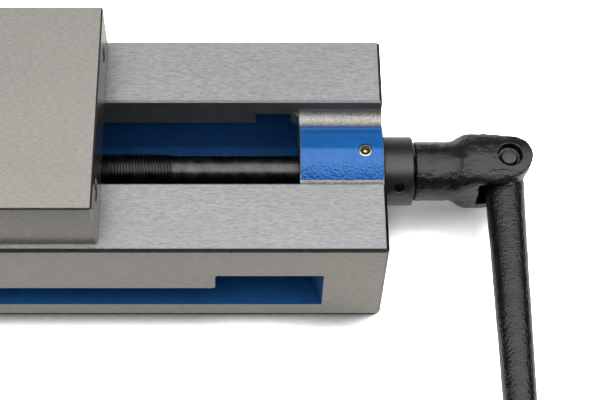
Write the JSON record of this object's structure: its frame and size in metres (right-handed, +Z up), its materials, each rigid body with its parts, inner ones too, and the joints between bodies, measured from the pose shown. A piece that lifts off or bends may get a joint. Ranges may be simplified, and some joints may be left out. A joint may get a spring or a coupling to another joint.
{
  "type": "machine vise",
  "caption": "Milling machine vise with a ground bed, a fixed jaw, a movable jaw pulled along its ways by a lead screw, side clamping pockets, a ball oiler and a swing handle.",
  "frame": {"origin": "middle of the bed's underside", "axes": "+X along the lead screw towards the handle, +Y across the ways, away from the handle arm, +Z up"},
  "size_m": [0.5316, 0.3191, 0.1268],
  "materials": {
    "ground_iron": "ground ways and sides, with the hollows painted blue",
    "warm_steel": "ground, slightly warm grey",
    "bright_steel": "ground and turned steel",
    "black_steel": "satin black oxide",
    "screw_steel": "oiled black oxide",
    "nut_iron": "machined iron",
    "seal_rubber": "matt",
    "bronze": "turned bronze",
    "brass": "turned brass",
    "black_enamel": "gloss black over a cast surface"
  },
  "bodies": {
    "bed": {"body": "ground_iron", "fixed_jaw": "ground_iron", "fixed_jaw_key": "bright_steel", "fixed_jaw_bolt_front": "black_steel", "fixed_jaw_bolt_back": "black_steel", "fixed_jaw_plate": "bright_steel", "fixed_plate_screw_front": "black_steel", "fixed_plate_screw_back": "black_steel", "thrust_washer_block": "bright_steel", "thrust_roller_cage": "bright_steel", "screw_seal": "seal_rubber", "screw_bush": "bronze", "oiler_shell": "brass", "oiler_spring": "bright_steel"},
    "jaw_carriage": {"movable_jaw": "warm_steel", "movable_jaw_plate": "bright_steel", "movable_plate_screw_front": "black_steel", "movable_plate_screw_back": "black_steel", "jaw_segment": "bright_steel", "slide_nut": "nut_iron"},
    "screw_train": {"lead_screw": "screw_steel", "thrust_washer_screw": "bright_steel", "collar": "black_steel", "collar_set_screw": "bright_steel", "handle_head": "black_enamel", "handle_pin": "black_steel"},
    "arm": {"handle_arm": "black_enamel"},
    "ball_valve": {"oiler_ball": "bright_steel"}
  },
  "joints": [
    {"name": "screw_turn", "type": "hinge", "parent": "bed", "child": "screw_train", "pos_m": [0.2, 0, 0.05], "axis": [1, 0, 0], "range_deg": [-21552, 8928]},
    {"name": "jaw_slide", "type": "slide", "parent": "bed", "child": "jaw_carriage", "axis": [1, 0, 0], "range_m": [-0.1086, 0.045]},
    {"name": "handle_swing", "type": "hinge", "parent": "screw_train", "child": "arm", "pos_m": [0.2976, 0, 0.05], "axis": [0, -0.0872, 0.9962], "range_deg": [0, 180]},
    {"name": "oiler_press", "type": "slide", "parent": "bed", "child": "ball_valve", "axis": [0, 0, -1], "range_m": [0, 0.001], "stiffness_N_per_m": 300, "springref_m": -0.001, "deforming": ["oiler_spring"]}
  ],
  "couplings": [
    {"joint": "jaw_slide", "follows": "screw_turn", "m_per_rad": 0.00028871}
  ]
}
